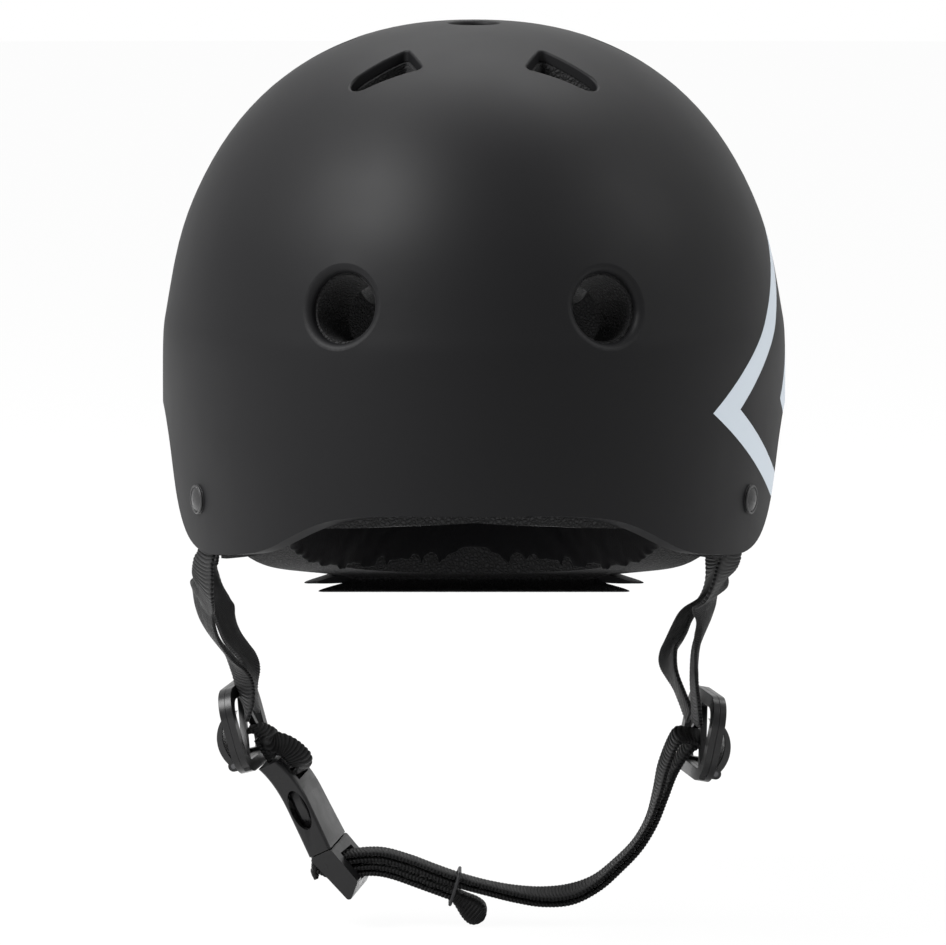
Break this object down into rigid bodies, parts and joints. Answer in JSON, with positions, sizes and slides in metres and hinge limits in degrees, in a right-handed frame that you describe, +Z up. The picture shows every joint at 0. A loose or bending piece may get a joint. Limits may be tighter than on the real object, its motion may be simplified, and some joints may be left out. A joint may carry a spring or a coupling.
{
  "type": "skateboard helmet",
  "caption": "Hard-shell skateboard helmet with foam liner, comfort pads, vents and a webbing chin harness with strap dividers and a side-release buckle.",
  "frame": {"origin": "on the centre line under the widest section, at the level of the brow edge's middle, which is where the head meets the helmet", "axes": "+Z up through the crown as worn, -Y towards the face, +X towards the wearer's left"},
  "size_m": [0.214, 0.274, 0.3129],
  "materials": {
    "shell": "matte",
    "foam": "matte",
    "pad": "brushed",
    "patch": "looped",
    "rivet": "satin",
    "washer": "satin",
    "webbing": "ribbed",
    "divider": "satin",
    "lever": "gloss",
    "pin": "satin",
    "buckle": "satin",
    "keeper": "matte"
  },
  "bodies": {
    "shell": {"outer_shell": "shell", "foam_liner": "foam", "brow_pad": "pad", "rear_pad": "pad", "left_side_pad": "pad", "right_side_pad": "pad", "crown_pad": "pad", "hook_patches": "patch", "strap_rivets": "rivet", "rivet_washers": "washer", "left_front_strap": "webbing", "left_rear_strap": "webbing", "right_front_strap": "webbing", "right_rear_strap": "webbing"},
    "chin_loop": {"left_divider_base": "divider", "left_divider_cover": "divider", "left_divider_pin": "pin", "right_divider_base": "divider", "right_divider_cover": "divider", "right_divider_pin": "pin", "buckle_socket": "buckle", "lower_strap_inner": "webbing", "lower_strap_outer": "webbing", "chin_strap_outer": "webbing", "chin_strap_inner": "webbing"},
    "buckle_clip": {"clip_base": "buckle", "strap_tail": "webbing"},
    "front_prong": {"front_prong": "buckle"},
    "rear_prong": {"rear_prong": "buckle"},
    "keeper": {"keeper_ring": "keeper"},
    "left_lever": {"left_divider_lever": "lever"},
    "right_lever": {"right_divider_lever": "lever"}
  },
  "joints": [
    {"name": "chin_swing", "type": "hinge", "parent": "shell", "child": "chin_loop", "pos_m": [0, 0, -0.02], "axis": [1, 0, 0], "range_deg": [-20, 20], "deforming": ["left_front_strap", "left_rear_strap", "right_front_strap", "right_rear_strap"]},
    {"name": "buckle_release", "type": "slide", "parent": "chin_loop", "child": "buckle_clip", "axis": [0.4384, 0, -0.8988], "range_m": [0, 0.02], "deforming": ["chin_strap_outer", "chin_strap_inner"]},
    {"name": "front_prong_squeeze", "type": "hinge", "parent": "buckle_clip", "child": "front_prong", "pos_m": [-0.05282, -0.0069, -0.12704], "axis": [-0.8792, 0.2079, -0.4288], "range_deg": [0, 10]},
    {"name": "rear_prong_squeeze", "type": "hinge", "parent": "buckle_clip", "child": "rear_prong", "pos_m": [-0.05019, 0.0069, -0.12575], "axis": [0.8792, -0.2079, 0.4288], "range_deg": [0, 10]},
    {"name": "keeper_slide", "type": "slide", "parent": "buckle_clip", "child": "keeper", "axis": [0.954, 0, -0.2999], "range_m": [-0.005, 0.001]},
    {"name": "left_lever_lift", "type": "hinge", "parent": "chin_loop", "child": "left_lever", "pos_m": [0.08091, 0.00094, -0.10123], "axis": [-0.2041, 0.9781, 0.0397], "range_deg": [0, 75]},
    {"name": "right_lever_lift", "type": "hinge", "parent": "chin_loop", "child": "right_lever", "pos_m": [-0.08045, 0.00094, -0.09834], "axis": [-0.2008, -0.9782, -0.0538], "range_deg": [0, 75]}
  ],
  "couplings": [
    {"joint": "front_prong_squeeze", "follows": "buckle_release", "rad_per_m": 8.7},
    {"joint": "rear_prong_squeeze", "follows": "buckle_release", "rad_per_m": 8.7}
  ]
}
